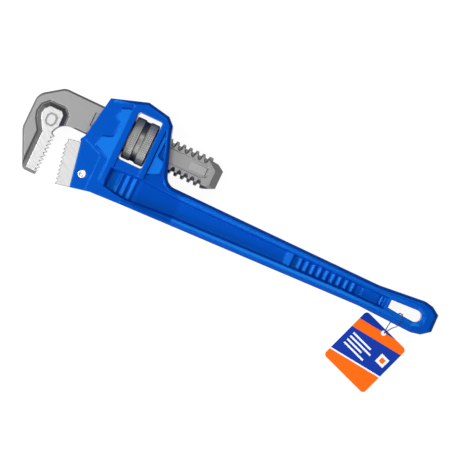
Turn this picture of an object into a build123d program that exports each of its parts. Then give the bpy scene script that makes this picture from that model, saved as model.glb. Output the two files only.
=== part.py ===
"""A heavy-duty pipe wrench of nominal 14 inch size, lying on its side, in millimetres.

X runs along the handle towards its free end, Y from the bottom of the jaws up to the top of
the head, and Z through the thickness. Every piece is first shaped about the middle of the
adjusting nut, with X along the shank and Z = 0 in the middle of the thickness, and then moved
so that the origin lies under the middle of the whole tool.
"""
import math
import os

from build123d import *

# Overall sizes, each measured from the middle of the nut
HANDLE_REACH = 268.1
HOOK_REACH = 87.8
HEAD_RISE = 30.4
JAW_DROP = 58.1

# Thicknesses of the casting, each half of the whole
HEAD_HALF = 17.6
HANDLE_HALF = 10.0
PANEL_DROP = 2.2
RAIL_DROP = 0.8

# Thread on the edges of the shank, and the nut that drives it
THREAD_PITCH = 5.6
CREST_RADIUS = 12.87
THREAD_DEPTH = 2.5
CREST_FLAT = 2.0
ROOT_FLAT = 1.9
THREAD_FRONT = -22.9
THREAD_REAR = 55.1
NUT_RADIUS = 17.55
NUT_LENGTH = 18.7
NUT_BORE_GAP = 0.25
NUT_END_GAP = 0.75
NUT_GROOVE = 5.0
NUT_GROOVE_DEPTH = 0.9
NUT_CHAMFER = 0.8

# Window and passage in the head
WINDOW_HEIGHT = 39.8
WINDOW_RADIUS = 1.8
PASSAGE_SIDE_GAP = 0.5
ROCK_ROOM_TIGHT = 0.35
ROCK_ROOM_FRONT = 1.9
ROCK_ROOM_REAR = 1.55

# Hook jaw
SHANK_THICK = 16.0
SHANK_TAIL = 68.3
TAIL_SLOPE = 5.5
TAIL_DROP = 2.2
SHANK_CHANNEL_HEIGHT = 11.5
SHANK_CHANNEL_DEPTH = 1.4
SHANK_CHANNEL_FRONT = -40.6
SHANK_CHANNEL_REAR = 58.6
HOOK_HALF = SHANK_THICK / 2
HOOK_INNER = -50.2
THROAT_X = HOOK_INNER - 3.3
HOOK_CHAMFER = 1.5
LAND_RISE = 2.5
LAND_LEAN = 43.0
LAND_ROOT = 1.0
MOAT_DEPTH = 1.3
MOAT_LEAN = 45.0
THROAT_RADIUS = 11.9
TOOTH_LINE = -62.5
HOOK_TOOTH_DEPTH = 2.6
HOOK_TOOTH_PITCH = 3.36
HOOK_TOOTH_FALL = 2.3
HOOK_TOOTH_TOP = -24.7
TOOTH_COUNT = 9

# Heel jaw and its pin
SEAT_TOP = (-41.2, -20.05)
SEAT_LENGTH = 36.14
SEAT_LEAN = 11.17
HEEL_THICK = 12.3
HEEL_HALF = 11.0
HEEL_TOOTH_DEPTH = 2.2
HEEL_TOOTH_PITCH = 3.35
HEEL_TOOTH_START = 2.4
TOOTH_TIP = 0.3
TANG_HALF = 6.0
TANG_LENGTH = 13.5
TANG_END_MARGIN = 4.5
TANG_GAP = 0.1
PIN_RADIUS = 3.35
PIN_FROM_END = 12.34
PIN_INSIDE = 6.7
PIN_GAP = 0.03

# Spring under the shank
LEAF_FRONT = -26.0
LEAF_REAR = -11.2
LEAF_WIDTH = 8.0
LEAF_THICK = 0.8
LEAF_GAP = 0.15
LEAF_ROOM = 1.1
COIL_X = -17.6
COIL_RADIUS = 3.5
COIL_WIRE = 1.0
COIL_TURNS = 4
POCKET_GAP = 0.6
POCKET_FLOOR = -27.8
RIVET_RADIUS = 1.3
RIVET_LENGTH = 3.2
SEAT_GAP = 0.1

# Casting, edge line and head
RIM_WIDTH = 3.2
CHAMFER_WIDTH = 2.4
CHAMFER_DROP = 2.2
NECK_RADIUS = 9.5
NECK_START = 22.5
NECK_END = 50.0
RAIL_START = 15.7
RAIL_END = 48.0
RAIL_TOP = -21.5
RAIL_BOTTOM = -42.9
ARC_STEPS = 6
PAD_CREASE = -15.3
PAD_LOW = -41.1
BAR_WIDTH = 4.9

# Handle channel and hang slot
CHANNEL_DEPTH = 6.0
CHANNEL_FRONT = -9.6
CHANNEL_TOP = -27.8
SLOT_Y = -31.2
SLOT_REAR = HANDLE_REACH - 11.7
SLOT_FRONT = SLOT_REAR - 26.9
CHANNEL_REAR = SLOT_FRONT - 1.0
CHANNEL_WAIST = CHANNEL_REAR - 39.5
BLOCK_FRONT = 140.2
BLOCK_LENGTH = 6.2
BLOCK_RISE = 3.6
BLOCK_TILT = 1.0
PLATE_FRONT = CHANNEL_REAR - 22.8
PLATE_LENGTH = 14.8
PLATE_RISE = 1.2
STEP_LENGTH = 4.1
STEP_RISE = 3.0
RIB_START = BLOCK_FRONT + 10.9
RIB_PITCH = 5.65
RIB_COUNT = 9
RIB_RISE = 1.4
RIB_SLOPE = 2.3
RIB_LENGTH = 4.6
HEAD_RIB_START = -2.9
HEAD_RIB_COUNT = 3
SLOT_FRONT_HALF = 3.5
SLOT_REAR_HALF = 4.75

# Tag and string
TAG_WIDTH = 43.6
TAG_HEIGHT = 48.0
TAG_THICK = 0.5
TAG_RADIUS = 3.0
TAG_TURN = -19.6
TAG_HOLE_RADIUS = 2.0
TAG_HOLE = (HANDLE_REACH - 32.4, RAIL_BOTTOM - 11.1)
TAG_HOLE_FROM_TOP = 3.2
TAG_HOLE_FROM_SIDE = 21.6
TAG_UNDER_HANDLE = 0.1
STRING_DIAMETER = 0.8
KNOT_RADIUS = 0.95

# Sides of the section of the string and of the spring wire
WIRE_SIDES = 8

FAR = 200.0
NUT_X = (HOOK_REACH - HANDLE_REACH) / 2
SHANK_Y = (JAW_DROP - HEAD_RISE) / 2
MIDDLE_Z = HEAD_HALF
ROOT_RADIUS = CREST_RADIUS - THREAD_DEPTH
WINDOW_LENGTH = NUT_LENGTH + 2 * NUT_END_GAP
PANEL_HALF = HEAD_HALF - PANEL_DROP


def place(shape):
    """Moves a piece from the nut's frame to the tool's own frame."""
    return Pos(NUT_X, SHANK_Y, MIDDLE_Z) * shape


def slab(points, low, high):
    """A flat-sided block with the given outline in plan, from height low to height high."""
    return extrude(Plane.XY.offset(low) * make_face(Polyline(*points, close=True)), high - low)


def both_sides(shape):
    """A shape on the upper side together with its twin on the under side."""
    return shape + mirror(shape, Plane.XY)


def box(x, y, z):
    """A block between the two values of each pair."""
    size = (x[1] - x[0], y[1] - y[0], z[1] - z[0])
    middle = (sum(x) / 2, sum(y) / 2, sum(z) / 2)
    return Pos(*middle) * Box(*size)


def above(first, second, third):
    """The space over the plane through three points."""
    p, q, r = Vector(*first), Vector(*second), Vector(*third)
    normal = (q - p).cross(r - p).normalized()
    if normal.Z < 0:
        normal = -normal
    plane = Plane(origin=p, x_dir=(q - p).normalized(), z_dir=normal)
    reach = 4 * FAR
    return plane * Pos(0, 0, reach / 2) * Box(reach, reach, reach)


# ---------------------------------------------------------------- casting

def rim_corners():
    """Corners of the ridged edge line, from the front of the head round the handle, with radii."""
    neck_x = 20.6 + (13.1 - RAIL_TOP) * 10.0 / 27.7
    end = HANDLE_REACH
    corners = [
        ((-34.6, 20.7), 0),
        ((-6.1, HEAD_RISE), 0),
        ((12.6, 27.0), 0),
        ((18.1, 21.7), 0),
        ((20.6, 13.1), 0),
        ((neck_x, RAIL_TOP), NECK_RADIUS),
        ((end - 52, RAIL_TOP), 60),
        ((end - 14, RAIL_TOP + 4.0), 10),
        ((end - 7, RAIL_TOP + 2.6), 0),
        ((end - 0.4, RAIL_TOP - 1.7), 0),
        ((end, RAIL_TOP - 15.7), 0),
        ((end - 7, RAIL_BOTTOM + 0.2), 0),
        ((end - 14.8, RAIL_BOTTOM - 1.5), 10),
        ((end - 60, RAIL_BOTTOM), 80),
        ((6.0, RAIL_BOTTOM - 8.0), 0),
    ]
    return [point for point, _ in corners], [radius for _, radius in corners]


def inset(points, radii, distance):
    """Moves an edge line inwards by distance, to the right of its direction of travel."""
    moved, rounded = [], []
    last = len(points) - 1
    for i, point in enumerate(points):
        here = Vector(*point)
        before = (here - Vector(*points[i - 1])).normalized() if i else None
        after = (Vector(*points[i + 1]) - here).normalized() if i < last else None
        before, after = before or after, after or before
        side = Vector(before.Y, -before.X) + Vector(after.Y, -after.X)
        corner = here + side * (distance / (1 + before.dot(after)))
        turn = before.cross(after).Z
        moved.append((corner.X, corner.Y))
        rounded.append(radii[i] + math.copysign(distance, turn) if radii[i] else 0)
    return moved, rounded


def rounded_run(points, radii):
    """Edges through points, with a tangent arc of the given radius at each rounded corner."""
    edges = []
    start = Vector(*points[0])
    for i in range(1, len(points)):
        corner = Vector(*points[i])
        if i < len(points) - 1 and radii[i] > 0:
            before = (corner - Vector(*points[i - 1])).normalized()
            after = (Vector(*points[i + 1]) - corner).normalized()
            half_turn = math.radians(before.get_angle(after)) / 2
            reach = radii[i] * math.tan(half_turn)
            enter, leave = corner - before * reach, corner + after * reach
            inwards = (after - before).normalized()
            middle = corner + inwards * radii[i] * (1 / math.cos(half_turn) - 1)
            edges.append(Line(start, enter))
            edges.append(ThreePointArc(enter, middle, leave))
            start = leave
        else:
            edges.append(Line(start, corner))
            start = corner
    return edges


def stations(edges):
    """Points along an edge line: the start of each run, and several along each arc."""
    found = []
    for edge in edges:
        steps = ARC_STEPS if edge.geom_type == GeomType.CIRCLE else 1
        found += [edge @ (k / steps) for k in range(steps)]
    return found + [edges[-1] @ 1]


def rim_half(x):
    """Half thickness of the casting at its rim, which runs down the neck to the handle."""
    share = min(max((x - NECK_START) / (NECK_END - NECK_START), 0), 1)
    return HEAD_HALF + share * (HANDLE_HALF - HEAD_HALF)


def thickness_body(front, neck_start, neck_end, rear):
    """Everything under a side profile that is high at the head and low at the handle."""
    profile = make_face(Polyline((-FAR, 0), (2 * FAR, 0), (2 * FAR, rear), (neck_end, rear),
                                 (neck_start, front), (-FAR, front), close=True))
    return extrude(Plane.XZ * profile, FAR, both=True)


def rim_chamfer():
    """The bevel along the ridged edge line, one slanted cut for each stretch."""
    points, radii = rim_corners()
    lines = [stations(rounded_run(*inset(points, radii, d))) for d in (CHAMFER_WIDTH, 0, -CHAMFER_WIDTH)]
    rows = list(zip(*lines))
    for crease in (NECK_START, NECK_END):
        split = []
        for row, after in zip(rows, rows[1:]):
            split.append(row)
            if (row[0].X - crease) * (after[0].X - crease) < 0:
                share = (crease - row[0].X) / (after[0].X - row[0].X)
                split.append(tuple(p + (q - p) * share for p, q in zip(row, after)))
        rows = split + [rows[-1]]
    cuts = []
    for (inner, wall, outer), (inner_2, _, outer_2) in zip(rows, rows[1:]):
        plan = [(p.X, p.Y) for p in (inner, inner_2, outer_2, outer)]
        tilt = above((inner.X, inner.Y, rim_half(inner.X)), (inner_2.X, inner_2.Y, rim_half(inner_2.X)),
                     (wall.X, wall.Y, rim_half(inner.X) - CHAMFER_DROP))
        cuts.append(slab(plan, 0, HEAD_HALF + 5) & tilt)
    return cuts


def head_front():
    """Front edge of the casting, from under the shank round to the top, below the rim line."""
    seat_end = seat_point(SEAT_LENGTH, 0)
    return [rim_corners()[0][-1], (-19.0, RAIL_BOTTOM - 9.3), seat_end, SEAT_TOP, (-42.4, -18.9),
            (-42.4, -17.3), (-40.8, -15.0), (-40.4, -14.2), rim_corners()[0][0]]


def raised_pads():
    """Plan outlines of what stands at full height on the side of the head."""
    near, far = -WINDOW_LENGTH / 2, WINDOW_LENGTH / 2
    shield = [(PAD_CREASE, 20.1), (-23.6, 17.4), (-25.2, 9.6), (-20.1, 6.5), (-20.0, -4.8), (-22.1, -6.4),
              (-28.3, -8.3), (-30.3, -16.9), (-19.0, -22.0), (-16.6, -24.3), (-16.6, PAD_LOW),
              (PAD_CREASE, PAD_LOW)]
    bridge = [(PAD_CREASE, 60), (PAD_CREASE, PAD_LOW), (near - 0.4, PAD_LOW), (near - 0.4, -28.0),
              (far + BAR_WIDTH, -28.0), (far + BAR_WIDTH, -21.2), (26.3, -16.1), (60, 0), (60, 60)]
    return shield, bridge


def casting_half():
    """Upper half of the casting, with its rim, pads, panels and bevels."""
    points, radii = rim_corners()
    outline = make_face(rounded_run(points, radii) + Polyline(*head_front()).edges())
    blank = extrude(outline, HEAD_HALF) & thickness_body(HEAD_HALF, NECK_START, NECK_END, HANDLE_HALF)
    blank -= rim_chamfer()

    inner_points, inner_radii = inset(points, radii, RIM_WIDTH)
    slot_end = (HANDLE_REACH - 7.7, SLOT_Y)
    inner_points[7:13] = [(slot_end[0] - 9, inner_points[7][1] - 1.4), (slot_end[0], SLOT_Y + 4),
                          (slot_end[0], SLOT_Y - 5), (slot_end[0] - 9, inner_points[12][1] + 0.9)]
    inner_radii[7:13] = [5, 3.4, 3.4, 5]
    first, last = inner_points[0], inner_points[-1]
    inner_points = [(-60, first[1] - 8.6)] + inner_points + [(last[0], -80), (-60, -80)]
    inner_radii = [0] + inner_radii + [0, 0]
    inner_face = make_face(rounded_run(inner_points + inner_points[:1], inner_radii + [0]))
    inside = extrude(inner_face, HEAD_HALF + 5)
    shield, bridge = raised_pads()
    low_level = thickness_body(PANEL_HALF, RAIL_START, RAIL_END, HANDLE_HALF - RAIL_DROP)
    blank -= inside - slab(shield, 0, FAR) - slab(bridge, 0, FAR) - low_level
    bottom_rail = box((-60, NECK_END), (-80, SLOT_Y - 8), (0, HEAD_HALF + 5))
    blank -= bottom_rail - thickness_body(PANEL_HALF + RAIL_DROP, RAIL_START, RAIL_END, HANDLE_HALF)

    ramp = above((PAD_CREASE, 0, HEAD_HALF), (PAD_CREASE, 10, HEAD_HALF), (-30.3, 0, PANEL_HALF + 0.15))
    blank -= ramp & slab([(PAD_CREASE, 40), (-60, 40), (-60, PAD_LOW - 0.4), (PAD_CREASE, PAD_LOW - 0.4)],
                         PANEL_HALF, FAR)
    return blank


def side_details():
    """Cuts in the upper side of the head: the trough, its pocket, and the dips round the window."""
    far = WINDOW_LENGTH / 2
    bar = far + BAR_WIDTH
    trough = slab([(bar, 17.0), (26.3, -16.1), (26.3, -18.5), (bar, -22.5)], PANEL_HALF - 3, FAR)
    trough &= above((bar, 0, PANEL_HALF), (bar, 10, PANEL_HALF), (bar + 12, 0, HEAD_HALF))
    pocket = slab([(18.3, 8.0), (18.0, -4.5), (23.3, -6.3)], PANEL_HALF - 2.2, FAR)
    sill = slab([(-far + 0.2, -10), (far, -10), (far, -27.9), (-far + 0.2, -27.9)], HEAD_HALF - 0.9, FAR)
    heel = slab([(-60, -15.0), (-41.6, -15.2), (-24.2, -22.3), (-23.0, -24.0), (-22.6, -80), (-60, -80)],
                PANEL_HALF - 0.6, FAR)
    return [trough, pocket, sill, heel]


def channel():
    """The long recess in the side of the handle, with its ribs, block and plates left standing."""
    top, rear, front = CHANNEL_TOP, CHANNEL_REAR, CHANNEL_FRONT
    outline = [(front, top - 1.4), (front + 14.1, top), (rear, top + 0.7), (rear, top - 9.0),
               (CHANNEL_WAIST, top - 9.6), (front + 17.9, top - 17.0), (front + 10.1, top - 16.4),
               (front, top - 14.6)]
    floor = HANDLE_HALF - CHANNEL_DEPTH
    foot = offset(make_face(Polyline(*outline, close=True)), -1.5, kind=Kind.INTERSECTION)
    recess = extrude(Plane.XY.offset(floor) * foot, HEAD_HALF, taper=-14)
    floor_level = thickness_body(PANEL_HALF - CHANNEL_DEPTH, RAIL_START, RAIL_END, floor)
    across = (RAIL_BOTTOM - 10, RAIL_TOP)
    block_rear = BLOCK_FRONT + BLOCK_LENGTH
    block = Polyline((BLOCK_FRONT, 0), (BLOCK_FRONT, floor + BLOCK_RISE - BLOCK_TILT),
                     (block_rear, floor + BLOCK_RISE), (block_rear, 0), close=True)
    standing = [extrude(Plane.XZ.offset(-across[1]) * make_face(block), across[1] - across[0]),
                box((PLATE_FRONT, PLATE_FRONT + PLATE_LENGTH), across, (0, floor + PLATE_RISE)),
                box((rear - STEP_LENGTH, rear + 1), across, (0, floor + STEP_RISE))]
    ribs = [(RIB_START + i * RIB_PITCH, floor) for i in range(RIB_COUNT)]
    ribs += [(HEAD_RIB_START + i * RIB_PITCH, PANEL_HALF - CHANNEL_DEPTH) for i in range(HEAD_RIB_COUNT)]
    ribs += [(PLATE_FRONT + PLATE_LENGTH, floor)]
    for x, base in ribs:
        wedge = Polyline((x, base - 1), (x, base), (x + RIB_SLOPE, base + RIB_RISE), (x + RIB_LENGTH, base),
                         (x + RIB_LENGTH, base - 1), close=True)
        standing.append(extrude(Plane.XZ.offset(-RAIL_TOP) * make_face(wedge), across[1] - across[0]))
    return recess - standing - floor_level


def handle():
    """The cast body: handle, head, window for the nut, passage for the shank and hang slot."""
    half = casting_half() - side_details() - channel()
    body = half + mirror(half, Plane.XY)

    window = extrude(Rectangle(WINDOW_LENGTH, WINDOW_HEIGHT), FAR, both=True)
    window = fillet(window.edges().filter_by(Axis.Z), WINDOW_RADIUS)
    side = SHANK_THICK / 2 + PASSAGE_SIDE_GAP
    front = box((-60, 0), (-CREST_RADIUS - ROCK_ROOM_FRONT, CREST_RADIUS + ROCK_ROOM_TIGHT), (-side, side))
    rear = box((0, 60), (-CREST_RADIUS - ROCK_ROOM_TIGHT, CREST_RADIUS + ROCK_ROOM_REAR), (-side, side))
    body = body - Pos(0, 0.8, 0) * window - front - rear

    body -= spring_room()
    body -= mortise()
    body -= pin_bore()
    body -= hang_slot()
    return body


def hang_slot():
    """The long hole near the end of the handle, square at the front and round at the rear."""
    centre = SLOT_REAR - SLOT_REAR_HALF
    taper = slab([(SLOT_FRONT, SLOT_Y + SLOT_FRONT_HALF), (centre, SLOT_Y + SLOT_REAR_HALF),
                  (centre, SLOT_Y - SLOT_REAR_HALF), (SLOT_FRONT, SLOT_Y - SLOT_FRONT_HALF)], -FAR, FAR)
    return taper + Pos(centre, SLOT_Y, 0) * Cylinder(SLOT_REAR_HALF, 2 * FAR)


# ---------------------------------------------------------------- hook jaw and nut

def thread_grooves():
    """Grooves across both edges of the shank, each half a turn of the thread, half a pitch apart."""
    gap = THREAD_PITCH - CREST_FLAT
    outer = CREST_RADIUS + 1
    spread = gap / 2 + (gap - ROOT_FLAT) / 2 / THREAD_DEPTH
    profile = Polyline((-ROOT_FLAT / 2, ROOT_RADIUS), (ROOT_FLAT / 2, ROOT_RADIUS), (spread, outer),
                       (-spread, outer), close=True)
    ring = revolve(make_face(profile), Axis.X, 360)
    lead = math.degrees(math.atan(THREAD_PITCH / (2 * math.pi * CREST_RADIUS)))
    grooves = []
    for side in (1, -1):
        half = (Rot(0, side * lead, 0) * ring) & box((-9, 9), (0, 20) if side > 0 else (-20, 0), (-20, 20))
        x = THREAD_REAR - (THREAD_PITCH / 2 if side > 0 else 0)
        while x > THREAD_FRONT:
            grooves.append(Pos(x, 0, 0) * half)
            x -= THREAD_PITCH
    return grooves


def hook_teeth():
    """Saw teeth of the hook jaw, as the cuts between them, their points towards the throat."""
    cuts = []
    for i in range(TOOTH_COUNT):
        top = HOOK_TOOTH_TOP - i * HOOK_TOOTH_PITCH
        end = top - HOOK_TOOTH_PITCH
        cuts.append(slab([(TOOTH_LINE + 1, top), (TOOTH_LINE, top),
                          (TOOTH_LINE - HOOK_TOOTH_DEPTH, top - HOOK_TOOTH_FALL),
                          (TOOTH_LINE, end + TOOTH_TIP), (TOOTH_LINE + 1, end + TOOTH_TIP)], -FAR, FAR))
    return cuts


def hook_outline():
    """Plan outline of the hook with the front of the shank."""
    tooth_end = HOOK_TOOTH_TOP - TOOTH_COUNT * HOOK_TOOTH_PITCH
    points = [(HOOK_INNER, CREST_RADIUS), (-69.8, CREST_RADIUS), (-HOOK_REACH, 0.0),
              (-HOOK_REACH, -28.7), (-74.2, -JAW_DROP), (TOOTH_LINE - 1.4, -JAW_DROP),
              (TOOTH_LINE - 1.4, tooth_end - 0.2),
              (TOOTH_LINE, tooth_end + 0.2), (TOOTH_LINE, HOOK_TOOTH_TOP),
              (TOOTH_LINE - 2.7, HOOK_TOOTH_TOP + 1.5)]
    radii = [0, 9, 11, 12, 4, 0, 0, 0, 0, 0]
    edges = rounded_run(points, radii)
    centre = Vector(THROAT_X, -CREST_RADIUS - THROAT_RADIUS)
    start = Vector(*points[-1])
    reach = (start - centre).normalized() * THROAT_RADIUS
    middle = (reach + Vector(0, THROAT_RADIUS)).normalized() * THROAT_RADIUS
    edges.append(Line(start, centre + reach))
    edges.append(ThreePointArc(centre + reach, centre + middle, (THROAT_X, -CREST_RADIUS)))
    edges.append(Line((THROAT_X, -CREST_RADIUS), (HOOK_INNER, -CREST_RADIUS)))
    edges.append(Line((HOOK_INNER, -CREST_RADIUS), (HOOK_INNER, CREST_RADIUS)))
    return make_face([edge for edge in edges if edge.length > 0.01])


def hook_land():
    """Key-shaped land on the side of the hook, with sloping sides, and the cut for the moat round it."""
    outline = make_face(Polyline((-74.7, -4.8), (-65.0, -4.8), (-62.6, -7.2), (-62.4, -15.4), (-58, -22),
                                 (-58, -55.4), (-71.8, -55.4), (-71.8, -24.8), (-77.5, -15.8),
                                 (-78.5, -12.2), (-77.8, -8.0), close=True))
    top, floor = HOOK_HALF + LAND_RISE, HOOK_HALF - MOAT_DEPTH
    height = top - floor
    land = extrude(Plane.XY.offset(top) * outline, height + LAND_ROOT, dir=(0, 0, -1), taper=-LAND_LEAN)
    foot = offset(outline, height * math.tan(math.radians(LAND_LEAN)), kind=Kind.INTERSECTION)
    moat = extrude(Plane.XY.offset(floor) * foot, height, taper=-MOAT_LEAN)
    return land, moat


def shank():
    """The flat shank: turned edges with the thread, a channel in each side and a tapered tail."""
    half_height, half = CREST_RADIUS, SHANK_THICK / 2
    blank = box((HOOK_INNER - 1, SHANK_TAIL), (-half_height, half_height), (-half, half))
    front = THREAD_FRONT - THREAD_PITCH / 2
    middle, length = (front + SHANK_TAIL) / 2, SHANK_TAIL - front
    turned = Pos(middle, 0, 0) * Rot(0, 90, 0) * Cylinder(CREST_RADIUS, length)
    plain = box((HOOK_INNER - 1, front), (-half_height, half_height), (-half, half))
    plain = chamfer(plain.edges().filter_by(Axis.X), HOOK_CHAMFER)
    blank = (blank & turned) + plain
    tail = SHANK_TAIL
    blank &= slab([(-FAR, half_height), (THREAD_REAR + 2.2, half_height),
                   (THREAD_REAR + 2.8, ROOT_RADIUS), (tail - 5.4, ROOT_RADIUS - 0.5),
                   (tail, ROOT_RADIUS - 4), (tail, -ROOT_RADIUS + 2), (tail - 5.4, -ROOT_RADIUS - 0.6),
                   (THREAD_REAR + 2.8, -half_height), (-FAR, -half_height)], -FAR, FAR)
    flat_end = [(tail - 10.5, 7.5), (tail - TAIL_SLOPE, 3.7), (tail - TAIL_SLOPE, -7.8),
                (tail - 11.6, -13.8)]
    for (x, y), (next_x, next_y) in zip(flat_end, flat_end[1:]):
        outward = Vector(y - next_y, next_x - x).normalized() * TAIL_SLOPE
        fallen = (x + outward.X, y + outward.Y, half - TAIL_DROP)
        slope = above((x, y, half), (next_x, next_y, half), fallen)
        blank = blank - slope - mirror(slope, Plane.XY)
    blank -= thread_grooves()
    low, high = -SHANK_CHANNEL_HEIGHT / 2, SHANK_CHANNEL_HEIGHT / 2
    front, rear = SHANK_CHANNEL_FRONT, SHANK_CHANNEL_REAR
    recess = slab([(front, high), (rear - 4, high), (rear, high - 3), (rear, low + 3), (rear - 4, low),
                   (front, low)], half - SHANK_CHANNEL_DEPTH, FAR)
    wedge = Polyline((rear - 16, half - SHANK_CHANNEL_DEPTH), (rear - 2, half - SHANK_CHANNEL_DEPTH),
                     (rear - 2, half - 0.3), close=True)
    recess -= extrude(Plane.XZ.offset(-3.1) * make_face(wedge), 6.2)
    return blank - both_sides(recess)


def hook_jaw():
    """Forged hook with its teeth, in one piece with the threaded shank."""
    face = hook_outline()
    hook = extrude(face, HOOK_HALF, both=True)
    rim = [e for e in hook.edges() if abs(abs(e.center().Z) - HOOK_HALF) < 0.01
           and e.center().X < HOOK_INNER - 0.1
           and (e.center().Y > -2 or e.center().X < -73 or e.center().Y < -57)]
    hook = chamfer(rim, HOOK_CHAMFER)
    land, moat = hook_land()
    hook -= both_sides(moat)
    hook += both_sides(land & extrude(face, FAR))
    hook -= hook_teeth()
    return hook + shank()


def adjusting_nut():
    """The ring that the thumb turns, with a waist between its two gripping bands."""
    bore = CREST_RADIUS + NUT_BORE_GAP
    half, waist = NUT_LENGTH / 2, NUT_GROOVE / 2
    profile = Polyline((-half, bore), (-half, NUT_RADIUS - NUT_CHAMFER), (-half + NUT_CHAMFER, NUT_RADIUS),
                       (-waist, NUT_RADIUS), (-waist + NUT_GROOVE_DEPTH, NUT_RADIUS - NUT_GROOVE_DEPTH),
                       (waist - NUT_GROOVE_DEPTH, NUT_RADIUS - NUT_GROOVE_DEPTH), (waist, NUT_RADIUS),
                       (half - NUT_CHAMFER, NUT_RADIUS), (half, NUT_RADIUS - NUT_CHAMFER), (half, bore),
                       close=True)
    return revolve(make_face(profile), Axis.X, 360)


# ---------------------------------------------------------------- heel jaw

def seat_point(along, out):
    """A point of the heel jaw's seat frame: along the seat from its top, and out in front of it."""
    lean = math.radians(SEAT_LEAN)
    return (SEAT_TOP[0] + along * math.sin(lean) - out * math.cos(lean),
            SEAT_TOP[1] - along * math.cos(lean) - out * math.sin(lean))


def heel_jaw():
    """Hardened toothed jaw, seated on the front of the head by a tang."""
    crest, root = HEEL_THICK, HEEL_THICK - HEEL_TOOTH_DEPTH
    points = [seat_point(0, 0), seat_point(-0.4, root)]
    for i in range(TOOTH_COUNT):
        along = HEEL_TOOTH_START + i * HEEL_TOOTH_PITCH
        points.append(seat_point(along, root))
        points.append(seat_point(along + HEEL_TOOTH_PITCH - TOOTH_TIP, crest))
    points.append(seat_point(HEEL_TOOTH_START + TOOTH_COUNT * HEEL_TOOTH_PITCH, root))
    points.append(seat_point(SEAT_LENGTH, crest))
    points.append(seat_point(SEAT_LENGTH, 0))
    jaw = slab(points, -HEEL_HALF, HEEL_HALF)
    start, end = TANG_END_MARGIN, SEAT_LENGTH - TANG_END_MARGIN
    tang = slab([seat_point(start, 0), seat_point(end, 0), seat_point(end, -TANG_LENGTH),
                 seat_point(start, -TANG_LENGTH)], -TANG_HALF, TANG_HALF)
    return jaw + tang - pin_bore()


def mortise():
    """The blind slot in the front of the head that takes the heel jaw's tang."""
    gap, half = TANG_GAP, TANG_HALF + TANG_GAP
    start, end = TANG_END_MARGIN - gap, SEAT_LENGTH - TANG_END_MARGIN + gap
    return slab([seat_point(start, 2), seat_point(end, 2), seat_point(end, -TANG_LENGTH - gap),
                 seat_point(start, -TANG_LENGTH - gap)], -half, half)


def pin_bore():
    """The hole for the heel jaw's pin, through both cheeks and the tang."""
    x, y = seat_point(SEAT_LENGTH - PIN_FROM_END, -PIN_INSIDE)
    return Pos(x, y, 0) * Cylinder(PIN_RADIUS + PIN_GAP, 2 * FAR)


def heel_jaw_pin():
    """Cross pin with bevelled ends, a little below the cheeks, with a centre mark in each end."""
    x, y = seat_point(SEAT_LENGTH - PIN_FROM_END, -PIN_INSIDE)
    half = PANEL_HALF - 0.9
    pin = Cylinder(PIN_RADIUS, 2 * half)
    pin = chamfer(pin.edges(), 0.4)
    for side in (1, -1):
        pin -= Pos(0, 0, side * half) * Sphere(1.3)
    return Pos(x, y, 0) * pin


# ---------------------------------------------------------------- spring under the shank

def spring_room():
    """Pocket drilled below the shank for the coil, and the relief over it for the leaf."""
    floor = -CREST_RADIUS - ROCK_ROOM_FRONT
    leaf = box((LEAF_FRONT - 1, LEAF_REAR + 0.9), (floor - LEAF_ROOM, floor + 0.1),
               (-LEAF_WIDTH / 2 - 0.5, LEAF_WIDTH / 2 + 0.5))
    depth = floor - POCKET_FLOOR
    pocket = Pos(COIL_X, floor - depth / 2, 0) * Rot(90, 0, 0) * Cylinder(COIL_RADIUS + POCKET_GAP, depth)
    return leaf + pocket


def leaf_top():
    """Height of the upper face of the leaf, just under the shank."""
    return -CREST_RADIUS - LEAF_GAP


def flat_spring():
    """Leaf that bears on the underside of the shank, turned down at its front."""
    top = leaf_top()
    leaf = box((LEAF_FRONT, LEAF_REAR), (top - LEAF_THICK, top), (-LEAF_WIDTH / 2, LEAF_WIDTH / 2))
    leaf = fillet(leaf.edges().filter_by(Axis.Y), 1.2)
    return leaf - Pos(COIL_X, top, 0) * Rot(90, 0, 0) * Cylinder(RIVET_RADIUS * 0.6 + SEAT_GAP / 2, 4)


def spring_rivet():
    """Rivet that holds the leaf on the coil, countersunk flush in the leaf."""
    top = leaf_top() - 0.02
    neck = Cylinder(RIVET_RADIUS * 0.6, LEAF_THICK)
    body = Pos(0, 0, -LEAF_THICK / 2 - RIVET_LENGTH / 2) * Cylinder(RIVET_RADIUS, RIVET_LENGTH)
    return Pos(COIL_X, top - LEAF_THICK / 2, 0) * Rot(-90, 0, 0) * (neck + body)


def coil_spring():
    """Coil in the pocket, from its floor up to the leaf."""
    low = POCKET_FLOOR + COIL_WIRE / 2 + 0.05
    high = leaf_top() - LEAF_THICK - COIL_WIRE / 2 - 0.3
    radius = COIL_RADIUS - COIL_WIRE / 2
    path = Helix(pitch=(high - low) / COIL_TURNS, height=high - low, radius=radius)
    section = Plane(origin=path @ 0, z_dir=path % 0) * RegularPolygon(COIL_WIRE / 2, WIRE_SIDES)
    coil = sweep(section, path=path, is_frenet=True)
    return Pos(COIL_X, low, 0) * Rot(-90, 0, 0) * coil


# ---------------------------------------------------------------- tag and string

def hang_tag():
    """Printed card with rounded corners and a hole, lying beside the handle."""
    card = extrude(RectangleRounded(TAG_WIDTH, TAG_HEIGHT, TAG_RADIUS), TAG_THICK)
    hole = (TAG_HOLE_FROM_SIDE - TAG_WIDTH / 2, TAG_HEIGHT / 2 - TAG_HOLE_FROM_TOP)
    card -= Pos(*hole, 0) * Cylinder(TAG_HOLE_RADIUS, 4 * TAG_THICK)
    card = Rot(0, 0, TAG_TURN) * Pos(-hole[0], -hole[1], 0) * card
    return Pos(*TAG_HOLE, -HANDLE_HALF - TAG_UNDER_HANDLE) * card


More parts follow.
